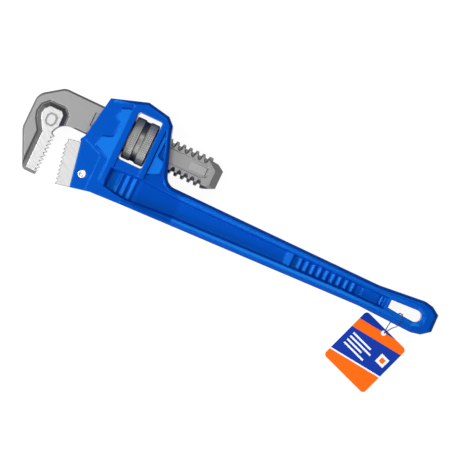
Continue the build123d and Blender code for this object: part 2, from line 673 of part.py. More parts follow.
def string_route():
    """Points of the string, from its knot through the tag's hole and round the rail of the hang slot."""
    x, y = TAG_HOLE
    route = [(1.3, 10.7, -9.95), (1.0, 8.6, -9.8), (0.6, 6.0, -9.3), (0.5, 4.0, -8.8), (0.4, 2.4, -8.8),
             (0.4, 0.55, -8.85), (0.5, 0.0, -9.8), (0.8, 0.5, -10.72), (1.7, 2.3, -10.75), (3.0, 4.4, -10.6),
             (4.0, 6.0, -9.2), (4.9, 7.2, -5.4), (5.6, 8.1, -0.6), (6.1, 8.7, 4.2), (6.3, 9.0, 8.4),
             (6.4, 11.4, 11.0), (6.4, 14.4, 11.25), (6.4, 17.5, 11.3), (6.5, 19.6, 9.5), (6.5, 19.5, 5.6),
             (6.3, 19.4, 0.4), (6.0, 19.45, -4.6), (5.2, 19.8, -8.4), (4.1, 18.7, -10.7),
             (2.9, 15.6, -10.75), (2.0, 13.0, -10.7), (1.5, 11.2, -10.15)]
    return [Vector(x + dx, y + dy, z) for dx, dy, z in route]


def tag_string():
    """The string as straight runs and tangent arcs, each arc as large as its runs allow, and its knot."""
    points = string_route()
    radii = [0.0]
    for before, corner, after in zip(points, points[1:], points[2:]):
        turn = (corner - before).get_angle(after - corner)
        shorter = min((corner - before).length, (after - corner).length)
        radii.append(0.45 * shorter / math.tan(math.radians(turn) / 2))
    print("string radii", [round(radius, 2) for radius in radii[1:]])
    path = Wire(rounded_run(points, radii + [0.0]))
    section = Plane(origin=path @ 0, z_dir=path % 0) * RegularPolygon(STRING_DIAMETER / 2, WIRE_SIDES)
    tube = sweep(section, path=path)
    print("string length", round(path.length, 1), "volume over section times length",
          round(tube.volume / section.area / path.length, 4))
    return tube + Pos(*points[0]) * Sphere(KNOT_RADIUS)


def main():
    """Builds every piece and writes one STEP file for each."""
    os.makedirs("parts", exist_ok=True)
    pieces = {
        "handle": handle,
        "hook_jaw": hook_jaw,
        "adjusting_nut": adjusting_nut,
        "heel_jaw": heel_jaw,
        "heel_jaw_pin": heel_jaw_pin,
        "flat_spring": flat_spring,
        "spring_rivet": spring_rivet,
        "coil_spring": coil_spring,
        "hang_tag": hang_tag,
        "tag_string": tag_string,
    }
    for name, build in pieces.items():
        export_step(place(build()), f"parts/{name}.step")


main()
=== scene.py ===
"""Dresses a heavy-duty pipe wrench: cast handle, jaws, knurled nut, springs, tag and string.

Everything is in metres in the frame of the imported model. X runs along the handle towards its
free end, Y from the bottom of the jaws to the top of the head, and Z through the thickness.
"""
from __future__ import annotations

import logging
import math
from dataclasses import dataclass, field
from enum import Enum
from typing import Callable, Iterable

import bmesh
import bpy
from mathutils import Matrix, Vector

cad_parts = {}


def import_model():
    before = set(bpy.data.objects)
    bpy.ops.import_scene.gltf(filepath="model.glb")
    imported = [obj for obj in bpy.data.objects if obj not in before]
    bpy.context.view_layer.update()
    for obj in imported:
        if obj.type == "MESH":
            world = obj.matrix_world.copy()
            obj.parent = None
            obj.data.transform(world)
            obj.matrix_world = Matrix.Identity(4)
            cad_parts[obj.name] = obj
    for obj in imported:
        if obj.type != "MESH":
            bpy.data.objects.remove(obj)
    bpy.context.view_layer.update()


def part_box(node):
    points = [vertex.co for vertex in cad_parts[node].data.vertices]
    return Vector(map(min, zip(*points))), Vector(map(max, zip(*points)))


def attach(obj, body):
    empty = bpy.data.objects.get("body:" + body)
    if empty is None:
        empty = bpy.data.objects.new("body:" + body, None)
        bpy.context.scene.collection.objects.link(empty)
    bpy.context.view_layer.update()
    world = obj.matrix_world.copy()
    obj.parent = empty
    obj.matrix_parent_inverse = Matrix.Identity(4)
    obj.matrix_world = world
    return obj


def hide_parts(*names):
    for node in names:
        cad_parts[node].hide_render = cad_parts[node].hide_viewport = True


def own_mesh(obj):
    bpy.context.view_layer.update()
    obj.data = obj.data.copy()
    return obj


LOG = logging.getLogger("pipe_wrench")
MM = 0.001
Colour = tuple[float, float, float, float]
WHITE: Colour = (1.0, 1.0, 1.0, 1.0)

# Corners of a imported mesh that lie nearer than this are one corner
WELD = 0.004 * MM

# A face is level where the Z of its normal is above LEVEL, and a wall where it is below STEEP
LEVEL = 0.9
STEEP = 0.3

# A shallow crease between level faces of this breadth is rounded, from this turn on in degrees
CREASE_TURN = 2.5
CREASE_BREADTH = 1.2 * MM


class Slot(Enum):
    """The record's material slots."""

    CAST_BLUE = "cast_blue"
    FORGED_STEEL = "forged_steel"
    NUT_STEEL = "nut_steel"
    GROUND_STEEL = "ground_steel"
    PIN_STEEL = "pin_steel"
    SPRING_STEEL = "spring_steel"
    CARD = "card"
    STRING = "string"


class Body(Enum):
    """The bodies that pieces ride on."""

    CASTING = "casting"
    NUT = "nut"
    HOOK = "hook"
    TAG = "tag"


class Ink(Enum):
    """The inks of the tag, by the number that their material has on the card."""

    NAVY = 0
    ORANGE = 1
    WHITE = 2


# ---------------------------------------------------------------- small helpers

def srgb(code: str) -> Colour:
    """Turns a hex colour into linear light.

    Args:
        code: Six hex digits with a leading hash sign.

    Returns:
        Linear red, green, blue and an alpha of one.
    """
    values = [int(code[i:i + 2], 16) / 255 for i in (1, 3, 5)]
    linear = [v / 12.92 if v <= 0.04045 else ((v + 0.055) / 1.055) ** 2.4 for v in values]
    return linear[0], linear[1], linear[2], 1.0


def add_node(tree: bpy.types.NodeTree, kind: str, inputs: dict | None = None,
             **settings: object) -> bpy.types.Node:
    """Adds a node with its settings, input values and links.

    Args:
        tree: The node tree that gets the node.
        kind: Blender's name of the node type.
        inputs: Input socket name or number to a value, or to the output socket that feeds it.
        settings: Properties of the node itself.

    Returns:
        The new node.
    """
    node = tree.nodes.new(kind)
    for name, value in settings.items():
        setattr(node, name, value)
    for name, value in (inputs or {}).items():
        if isinstance(value, bpy.types.NodeSocket):
            tree.links.new(value, node.inputs[name])
        else:
            node.inputs[name].default_value = value
    return node


def eye_rays(tree: bpy.types.NodeTree) -> bpy.types.NodeSocket:
    """Tells the rays that an eye sees from those that only carry light.

    Args:
        tree: The node tree that asks.

    Returns:
        A socket that is one for rays from the camera, in reflections and through clear things.
    """
    path = add_node(tree, "ShaderNodeLightPath")
    seen = path.outputs["Is Camera Ray"]
    for kind in ("Is Glossy Ray", "Is Transmission Ray"):
        either = add_node(tree, "ShaderNodeMath", {0: seen, 1: path.outputs[kind]}, operation="MAXIMUM")
        seen = either.outputs[0]
    return seen


def per_mm(size: float) -> float:
    """Texture scale in metres for a pattern whose grain is size millimetres."""
    return 1 / (size * MM)


def link_object(name: str, mesh: bpy.types.Mesh) -> bpy.types.Object:
    """Puts a mesh into the scene as an object at the origin.

    Args:
        name: The new object's name.
        mesh: Its mesh.

    Returns:
        The new object.
    """
    made = bpy.data.objects.new(name, mesh)
    bpy.context.scene.collection.objects.link(made)
    return made


def merged_copy(node: str, name: str, flat_angle: float = 0.6) -> bpy.types.Object:
    """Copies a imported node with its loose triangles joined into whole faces.

    Args:
        node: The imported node's name.
        name: The new object's name.
        flat_angle: Faces within this many degrees of each other become one.

    Returns:
        The new object.
    """
    source = bpy.data.objects[node]
    bm = bmesh.new()
    bm.from_mesh(source.data)
    bmesh.ops.remove_doubles(bm, verts=bm.verts, dist=WELD)
    bmesh.ops.dissolve_degenerate(bm, dist=WELD, edges=bm.edges)
    bmesh.ops.dissolve_limit(bm, angle_limit=math.radians(flat_angle), verts=bm.verts, edges=bm.edges)
    mesh = bpy.data.meshes.new(name)
    bm.to_mesh(mesh)
    bm.free()
    return link_object(name, mesh)


def mesh_object(name: str, bm: bmesh.types.BMesh) -> bpy.types.Object:
    """Turns a finished bmesh into an object at the origin, its faces pointing outwards.

    Args:
        name: The new object's name.
        bm: The bmesh, which is freed.

    Returns:
        The new object.
    """
    bmesh.ops.recalc_face_normals(bm, faces=bm.faces)
    mesh = bpy.data.meshes.new(name)
    bm.to_mesh(mesh)
    bm.free()
    return link_object(name, mesh)


def weigh_edges(mesh: bpy.types.Mesh, sharp: float, narrow: float,
                keep_out: Callable[[Vector], bool] | None) -> None:
    """Marks the edges that get rounded: the sharp ones, and the shallow creases between broad top faces.

    Args:
        mesh: The mesh to mark.
        sharp: Edges that turn by more than this many degrees are rounded.
        narrow: Faces slimmer than this many metres keep their edges, as they have no room for a rounding.
        keep_out: Says whether a place keeps its sharp edges, as teeth do.
    """
    bm = bmesh.new()
    bm.from_mesh(mesh)
    weight = bm.edges.layers.float.new("bevel_weight_edge")
    for edge in bm.edges:
        if len(edge.link_faces) != 2:
            continue
        turn = math.degrees(edge.calc_face_angle(0.0))
        level = all(abs(face.normal.z) > LEVEL for face in edge.link_faces)
        breadth = min(face.calc_area() / edge.calc_length() for face in edge.link_faces)
        creased = turn > CREASE_TURN and level and breadth > CREASE_BREADTH
        middle = (edge.verts[0].co + edge.verts[1].co) / 2
        kept = breadth <= narrow or (keep_out and keep_out(middle))
        rounded = (turn > sharp or creased) and not kept
        edge[weight] = 1.0 if rounded else 0.0
        edge.smooth = turn < sharp and not creased
    bm.to_mesh(mesh)
    bm.free()


def round_edges(piece: bpy.types.Object, radius: float, segments: int = 2, sharp: float = 24.0,
                keep_out: Callable[[Vector], bool] | None = None, edge_material: int = -1) -> None:
    """Rounds the sharp edges and creases of a piece, and shades its faces flat and its roundings smooth.

    Args:
        piece: The object to finish.
        radius: How far each rounding reaches from its edge, in metres.
        segments: Faces across each rounding.
        sharp: Edges that turn by more than this many degrees are rounded.
        keep_out: Says whether a place keeps its sharp edges.
        edge_material: Number of the material that the roundings get, or -1 for that of their faces.
    """
    piece.data.shade_smooth()
    weigh_edges(piece.data, sharp, 2 * radius, keep_out)
    bevel = piece.modifiers.new("rounded_edges", "BEVEL")
    bevel.width = radius
    bevel.segments = segments
    bevel.limit_method = "WEIGHT"
    bevel.use_clamp_overlap = False
    bevel.loop_slide = False
    bevel.miter_outer = "MITER_ARC"
    bevel.material = edge_material
    weighted = piece.modifiers.new("flat_faces", "WEIGHTED_NORMAL")
    weighted.mode = "FACE_AREA"
    weighted.weight = 90
    weighted.keep_sharp = True


def cut_away(piece: bpy.types.Object, cutter: bpy.types.Object) -> None:
    """Cuts one closed shape out of a piece and removes the cutter.

    Args:
        piece: The object that is cut, which gets a new mesh.
        cutter: The shape to take away.
    """
    cut = piece.modifiers.new("cut", "BOOLEAN")
    cut.operation = "DIFFERENCE"
    cut.solver = "EXACT"
    cut.object = cutter
    shown = piece.evaluated_get(bpy.context.evaluated_depsgraph_get())
    mesh = bpy.data.meshes.new_from_object(shown)
    piece.modifiers.clear()
    piece.data = mesh
    bpy.data.objects.remove(cutter)


def finish_faces(piece: bpy.types.Object, materials: Iterable[bpy.types.Material],
                 choose: Callable[[bpy.types.MeshPolygon], int] | None = None) -> None:
    """Gives a piece its materials, face by face.

    Args:
        piece: The object to dress.
        materials: Materials in the order of their numbers.
        choose: Says which number a face gets, or None where there is only one.
    """
    piece.data.materials.clear()
    for material in materials:
        piece.data.materials.append(material)
    for face in piece.data.polygons:
        face.material_index = choose(face) if choose else 0


# ---------------------------------------------------------------- finishes

@dataclass(frozen=True)
class Finish:
    """A surface finish, which makes its material once."""

    name: str
    colour: str
    roughness: float
    metallic: float = 0.0
    softness: float = 0.0

    def material(self) -> bpy.types.Material:
        """Makes the material of this finish on first use.

        Returns:
            The material, the same one each time.
        """
        found = bpy.data.materials.get(self.name)
        if found:
            return found
        made = bpy.data.materials.new(self.name)
        made.use_nodes = True
        tree = made.node_tree
        shader = tree.nodes["Principled BSDF"]
        shader.inputs["Base Color"].default_value = srgb(self.colour)
        shader.inputs["Roughness"].default_value = self.roughness
        shader.inputs["Metallic"].default_value = self.metallic
        self.dress(tree, shader)
        return made

    def dress(self, tree: bpy.types.NodeTree, shader: bpy.types.Node) -> None:
        """Adds the detail of the finish to its node tree.

        Args:
            tree: The material's node tree.
            shader: Its Principled shader.
        """

    def place(self, tree: bpy.types.NodeTree, turn: float = 0.0,
              stretch: tuple[float, float, float] = (1.0, 1.0, 1.0)) -> bpy.types.NodeSocket:
        """Gives a pattern its place: object coordinates, turned and then stretched.

        Args:
            tree: The material's node tree.
            turn: Degrees about Z.
            stretch: Scale along each axis after the turn.

        Returns:
            The socket that carries the place.
        """
        where = add_node(tree, "ShaderNodeTexCoord").outputs["Object"]
        angles = (0.0, 0.0, math.radians(turn))
        turned = add_node(tree, "ShaderNodeMapping", {"Vector": where, "Rotation": angles})
        spread = {"Vector": turned.outputs["Vector"], "Scale": stretch}
        return add_node(tree, "ShaderNodeMapping", spread).outputs["Vector"]

    def blend(self, tree: bpy.types.NodeTree, shader: bpy.types.Node, share: bpy.types.NodeSocket,
              low: Colour, high: Colour | bpy.types.NodeSocket) -> None:
        """Colours the shader with a blend of two colours.

        Args:
            tree: The material's node tree.
            shader: Its Principled shader.
            share: The socket that says how much of the second colour shows.
            low: The first colour.
            high: The second colour, or the socket that carries it.
        """
        mix = add_node(tree, "ShaderNodeMix", {"Factor": share, "A": low, "B": high}, data_type="RGBA")
        tree.links.new(mix.outputs[2], shader.inputs["Base Color"])

    def bump(self, tree: bpy.types.NodeTree, shader: bpy.types.Node, height: bpy.types.NodeSocket,
             depth: float, strength: float = 1.0) -> None:
        """Feeds a height into the shader's normal.

        Args:
            tree: The material's node tree.
            shader: Its Principled shader.
            height: The socket that carries the height.
            depth: How deep the relief is, in millimetres.
            strength: The share of the relief that shows.
        """
        relief = add_node(tree, "ShaderNodeBump", {"Height": height, "Distance": depth * MM,
                                                   "Strength": strength})
        if self.softness:
            soft = add_node(tree, "ShaderNodeBevel", {"Radius": self.softness * MM}, samples=6)
            tree.links.new(soft.outputs["Normal"], relief.inputs["Normal"])
        tree.links.new(relief.outputs["Normal"], shader.inputs["Normal"])


@dataclass(frozen=True)
class PowderCoat(Finish):
    """Powder coating baked on a sand casting: even colour, the sand's grain showing through, soft gloss."""

    shade: str = "#003BA6"
    gleam: str = "#30B0FF"
    grain: float = 1.1

    def dress(self, tree: bpy.types.NodeTree, shader: bpy.types.Node) -> None:
        """Adds the casting's grain in colour and relief.

        Args:
            tree: The material's node tree.
            shader: Its Principled shader.
        """
        where = self.place(tree)
        grain = add_node(tree, "ShaderNodeTexNoise", {"Vector": where, "Scale": per_mm(self.grain),
                                                      "Detail": 3.0, "Roughness": 0.6})
        ramp = add_node(tree, "ShaderNodeMapRange", {"Value": grain.outputs["Fac"], "From Min": 0.3,
                                                     "From Max": 0.7})
        self.blend(tree, shader, ramp.outputs["Result"], srgb(self.shade), srgb(self.colour))
        self.bump(tree, shader, grain.outputs["Fac"], 0.12, 0.35)
        shader.inputs["Specular IOR Level"].default_value = 0.8
        shader.inputs["Specular Tint"].default_value = srgb(self.gleam)


@dataclass(frozen=True)
class ForgedSteel(Finish):
    """Drop-forged steel, tumbled and oiled: mid grey, faintly mottled, with a soft metal sheen."""

    shade: str = "#7E7E7E"
    mottle: float = 1.4

    def dress(self, tree: bpy.types.NodeTree, shader: bpy.types.Node) -> None:
        """Adds the mottle of the forged skin.

        Args:
            tree: The material's node tree.
            shader: Its Principled shader.
        """
        where = self.place(tree)
        mottle = add_node(tree, "ShaderNodeTexNoise", {"Vector": where, "Scale": per_mm(self.mottle),
                                                       "Detail": 4.0})
        self.blend(tree, shader, mottle.outputs["Fac"], srgb(self.shade), srgb(self.colour))
        self.bump(tree, shader, mottle.outputs["Fac"], 0.06, 0.3)


@dataclass(frozen=True)
class GroundSteel(Finish):
    """Hardened steel ground flat: bright, with the wheel's fine parallel lines across it."""

    shade: str = "#9C9C9C"
    line_width: float = 0.7
    line_turn: float = 30.0

    def dress(self, tree: bpy.types.NodeTree, shader: bpy.types.Node) -> None:
        """Adds the grinding lines, drawn coarser than the real ones so that they show.

        Args:
            tree: The material's node tree.
            shader: Its Principled shader.
        """
        where = self.place(tree, self.line_turn, (0.035, 1.0, 1.0))
        lines = add_node(tree, "ShaderNodeTexNoise", {"Vector": where, "Scale": per_mm(self.line_width),
                                                      "Detail": 2.0, "Roughness": 0.7})
        ramp = add_node(tree, "ShaderNodeMapRange", {"Value": lines.outputs["Fac"], "From Min": 0.35,
                                                     "From Max": 0.6})
        self.blend(tree, shader, ramp.outputs["Result"], srgb(self.shade), srgb(self.colour))
        self.bump(tree, shader, lines.outputs["Fac"], 0.02, 0.25)


@dataclass(frozen=True)
class TurnedSteel(Finish):
    """Machined steel with the fine rings that a lathe leaves about the X axis."""

    shade: str = "#8E8E8C"
    ring_pitch: float = 0.5

    def dress(self, tree: bpy.types.NodeTree, shader: bpy.types.Node) -> None:
        """Adds the lathe's rings as fine bands along X.

        Args:
            tree: The material's node tree.
            shader: Its Principled shader.
        """
        where = self.place(tree, 0.0, (1.0, 0.02, 0.02))
        rings = add_node(tree, "ShaderNodeTexNoise", {"Vector": where, "Scale": per_mm(self.ring_pitch),
                                                      "Detail": 1.0})
        self.blend(tree, shader, rings.outputs["Fac"], srgb(self.shade), srgb(self.colour))
        self.bump(tree, shader, rings.outputs["Fac"], 0.02, 0.25)


@dataclass(frozen=True)
class KnurledSteel(TurnedSteel):
    """Machined steel whose knurl valleys are coloured darker, a painted shade in the valleys.

    The valleys are found by their distance from the nut's axis, which lies along X.
    """

    axis: tuple[float, float] = (0.0, 0.0)
    crest: float = 17.55
    valley: float = 17.15
    # Colour of the knurl valleys: painted shade, darker than the metal
    painted_valley_shade: str = "#585858"

    def dress(self, tree: bpy.types.NodeTree, shader: bpy.types.Node) -> None:
        """Adds the rings, then darkens what lies below the crests as painted shade.

        Args:
            tree: The material's node tree.
            shader: Its Principled shader.
        """
        super().dress(tree, shader)
        metal = shader.inputs["Base Color"].links[0].from_socket
        where = add_node(tree, "ShaderNodeTexCoord").outputs["Object"]
        across = add_node(tree, "ShaderNodeVectorMath", {0: where, 1: (0.0, -self.axis[0], -self.axis[1])},
                          operation="ADD")
        flat = add_node(tree, "ShaderNodeVectorMath", {0: across.outputs[0], 1: (0.0, 1.0, 1.0)},
                        operation="MULTIPLY")
        radius = add_node(tree, "ShaderNodeVectorMath", {0: flat.outputs[0]}, operation="LENGTH")
        depth = add_node(tree, "ShaderNodeMapRange", {"Value": radius.outputs["Value"],
                                                      "From Min": self.valley * MM,
                                                      "From Max": self.crest * MM})
        # Painted shade: the valleys take the dark colour, the crests keep the metal's colour
        self.blend(tree, shader, depth.outputs["Result"], srgb(self.painted_valley_shade), metal)


@dataclass(frozen=True)
class PrintedCard(Finish):
    """Ink on laminated card: a flat even colour under a thin satin film."""

    wave_size: float = 6.0

    def dress(self, tree: bpy.types.NodeTree, shader: bpy.types.Node) -> None:
        """Adds the faint waviness of laminated card.

        Args:
            tree: The material's node tree.
            shader: Its Principled shader.
        """
        where = self.place(tree)
        waves = add_node(tree, "ShaderNodeTexNoise", {"Vector": where, "Scale": per_mm(self.wave_size)})
        self.bump(tree, shader, waves.outputs["Fac"], 0.05, 0.1)
        shader.inputs["Specular IOR Level"].default_value = 0.15


@dataclass(frozen=True)
class TwistedCord(Finish):
    """Twisted polyester cord: dull fibres whose strands show as slanting bands.

    The wave texture draws about twenty bands to a unit, so the strand's scale is divided by that.
    """

    shade: str = "#0C2C66"
    strand: float = 0.5
    strand_turn: float = 30.0
    bands_per_unit: float = 20.0

    def dress(self, tree: bpy.types.NodeTree, shader: bpy.types.Node) -> None:
        """Adds the strands as bands of light and dark with a little relief.

        Args:
            tree: The material's node tree.
            shader: Its Principled shader.
        """
        where = self.place(tree, self.strand_turn)
        bands = add_node(tree, "ShaderNodeTexWave", {"Vector": where, "Distortion": 1.5,
                                                     "Scale": per_mm(self.strand) / self.bands_per_unit},
                         bands_direction="DIAGONAL")
        self.blend(tree, shader, bands.outputs["Fac"], srgb(self.shade), srgb(self.colour))
        self.bump(tree, shader, bands.outputs["Fac"], 0.08, 0.5)
        shader.inputs["Sheen Weight"].default_value = 0.2


BLUE_COAT = PowderCoat("powder_coat_on_cast_iron", "#0042AE", 0.26, softness=1.3)
FORGED = ForgedSteel("forged_steel_tumbled", "#7A7A7A", 0.45, 1.0)
GROUND = GroundSteel("ground_steel_bright", "#AEAEAE", 0.38, 1.0)
# Darker steel for the heel jaw's rounded edges: painted shade outlining its teeth
PAINTED_EDGE_SHADE = ForgedSteel("painted_tooth_edge_shade", "#6A6A6A", 0.45, 1.0, shade="#5A5A5A")
PIN_TURNED = TurnedSteel("turned_steel_pin", "#D8D8D8", 0.3, 1.0, shade="#B0B0B0")
TEMPERED = ForgedSteel("tempered_spring_steel", "#4A4A50", 0.4, 1.0, shade="#38383C")
NAVY_INK = PrintedCard("navy_ink_on_card", "#0034A0", 0.45)
ORANGE_INK = PrintedCard("orange_ink_on_card", "#FF6A00", 0.45)
WHITE_INK = PrintedCard("white_ink_on_card", "#F4F4F4", 0.45)
NAVY_CORD = TwistedCord("navy_twisted_cord", "#144696", 0.8)


# ---------------------------------------------------------------- layout

@dataclass
class Layout:
    """Where things are: millimetres from the middle of the nut, turned into the frame's metres."""

    middle: Vector = field(default_factory=Vector)
    tag_hole: tuple[float, float] = (235.7, -54.0)

    @classmethod
    def from_frame(cls) -> "Layout":
        """Finds the middle of the nut from the box of its imported mesh."""
        low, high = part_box("adjusting_nut")
        return cls((low + high) / 2)

    def at(self, x: float, y: float, z: float = 0.0) -> Vector:
        """A point given in millimetres from the middle of the nut, in the frame."""
        return self.middle + Vector((x, y, z)) * MM

    def local(self, point: Vector) -> Vector:
        """A point of the frame, in millimetres from the middle of the nut."""
        return (point - self.middle) / MM


# ---------------------------------------------------------------- studio

@dataclass(frozen=True)
class Lamp:
    """A soft square lamp: its place in millimetres from the nut, its side in metres, its power in watts."""

    name: str
    place: tuple[float, float, float]
    size: float
    power: float


@dataclass
class Studio:
    """White backdrop, soft light from the hook's side, and a long lens straight above."""

    layout: Layout
    aim: tuple[float, float] = (92.6, -32.3)
    roll: float = 25.3
    view_width: float = 358.8
    distance: float = 3000.0
    sensor: float = 36.0
    lean_from: tuple[float, float] = (22.0, -17.65)
    lean_to: tuple[float, float] = (268.0, -10.35)
    floor_size: float = 1.6
    floor_grey: float = 0.16
    floor_glow: float = 0.93
    room_light: float = 0.2
    lamp_aim: tuple[float, float, float] = (60.0, -15.0, 0.0)
    lamps: tuple[Lamp, ...] = (
        Lamp("key_lamp", (-450.0, -1000.0, 720.0), 0.5, 11.0),
        Lamp("side_lamp", (-1000.0, -200.0, 800.0), 0.4, 8.0),
        Lamp("panel_lamp", (-470.0, -60.0, 1450.0), 0.35, 3.4),
        Lamp("near_rail_lamp", (130.0, -840.0, 1450.0), 0.35, 3.0),
        Lamp("far_rail_lamp", (130.0, 714.0, 1450.0), 0.35, 4.5),
    )
    surround_radius: float = 0.75
    surround_low: float = 0.1
    surround_rise: float = 0.9
    surround_turn: float = 60.0
    surround_sides: int = 48

    def camera(self) -> None:
        """Looks straight down on the wrench, turned so that the handle falls to the right."""
        data = bpy.data.cameras.new("camera")
        data.sensor_width = self.sensor
        data.lens = self.sensor * self.distance / self.view_width
        data.clip_end = 20.0
        made = bpy.data.objects.new("camera", data)
        made.location = self.layout.at(*self.aim, self.distance)
        made.rotation_euler = (0.0, 0.0, math.radians(self.roll))
        bpy.context.scene.collection.objects.link(made)
        bpy.context.scene.camera = made

    def floor(self) -> None:
        """Lays the bench top, which touches the head and the end of the thinner handle."""
        (x0, z0), (x1, z1) = self.lean_from, self.lean_to
        lean = math.atan2(z1 - z0, x1 - x0)
        bm = bmesh.new()
        bmesh.ops.create_grid(bm, x_segments=1, y_segments=1, size=self.floor_size / 2)
        bmesh.ops.rotate(bm, verts=bm.verts, cent=(0, 0, 0), matrix=Matrix.Rotation(-lean, 3, "Y"))
        bmesh.ops.translate(bm, verts=bm.verts, vec=self.layout.at(x0, 0, z0))
        bench = mesh_object("bench", bm)
        finish_faces(bench, [self.floor_material()])

    def floor_material(self) -> bpy.types.Material:
        """Makes the bench white to the camera and in reflections, with soft grey shadows.

        Returns:
            The bench's material.
        """
        made = bpy.data.materials.new("white_bench")
        made.use_nodes = True
        tree = made.node_tree
        shader = tree.nodes["Principled BSDF"]
        shader.inputs["Base Color"].default_value = (self.floor_grey, self.floor_grey, self.floor_grey, 1.0)
        shader.inputs["Roughness"].default_value = 1.0
        shader.inputs["Specular IOR Level"].default_value = 0.0
        seen = eye_rays(tree)
        glow = add_node(tree, "ShaderNodeMath", {0: seen, 1: self.floor_glow}, operation="MULTIPLY")
        emission = add_node(tree, "ShaderNodeEmission", {"Color": WHITE, "Strength": glow.outputs[0]})
        both = add_node(tree, "ShaderNodeAddShader", {0: shader.outputs[0], 1: emission.outputs[0]})
        tree.links.new(both.outputs[0], tree.nodes["Material Output"].inputs["Surface"])
        return made

    def world(self) -> None:
        """Fills the room with even light, with a white surround for the eye and for reflections."""
        world = bpy.data.worlds.new("white_room")
        bpy.context.scene.world = world
        world.use_nodes = True
        tree = world.node_tree
        tree.nodes.clear()
        strength = add_node(tree, "ShaderNodeMapRange", {"Value": eye_rays(tree), "To Min": self.room_light,
                                                         "To Max": 1.0})
        light = add_node(tree, "ShaderNodeBackground", {"Color": WHITE,
                                                        "Strength": strength.outputs["Result"]})
        output = add_node(tree, "ShaderNodeOutputWorld")
        tree.links.new(light.outputs[0], output.inputs["Surface"])

    def hang(self, lamp: Lamp) -> None:
        """Hangs one lamp so that it faces the wrench.

        Args:
            lamp: The lamp to make.
        """
        data = bpy.data.lights.new(lamp.name, "AREA")
        data.shape = "SQUARE"
        data.size = lamp.size
        data.energy = lamp.power
        made = bpy.data.objects.new(lamp.name, data)
        made.location = self.layout.at(*lamp.place)
        towards = self.layout.at(*self.lamp_aim) - made.location
        made.rotation_euler = towards.to_track_quat("-Z", "Y").to_euler()
        bpy.context.scene.collection.objects.link(made)

    def dark_surround(self) -> None:
        """Sets up a dark wall, high above the head and low at the jaws' side, which only reflections see."""
        bm = bmesh.new()
        circle = bmesh.ops.create_circle(bm, segments=self.surround_sides, radius=self.surround_radius)
        ring = circle["verts"]
        edges = list({edge for vert in ring for edge in vert.link_edges})
        raised = bmesh.ops.extrude_edge_only(bm, edges=edges)["geom"]
        for vert in (item for item in raised if isinstance(item, bmesh.types.BMVert)):
            towards = math.cos(math.atan2(vert.co.y, vert.co.x) - math.radians(self.surround_turn))
            vert.co.z = self.surround_low + self.surround_rise * max(0.0, towards) ** 0.5
        bmesh.ops.translate(bm, verts=bm.verts, vec=(0, 0, -self.surround_low / 2))
        wall = mesh_object("dark_surround", bm)
        finish_faces(wall, [Finish("black_felt", "#101010", 1.0).material()])
        for name in ("visible_camera", "visible_diffuse", "visible_transmission", "visible_shadow"):
            setattr(wall, name, False)

    def build(self) -> None:
        """Makes the room, the bench, the surround and the lamps."""
        self.world()
        self.floor()
        self.dark_surround()
        for lamp in self.lamps:
            self.hang(lamp)


# ---------------------------------------------------------------- pieces

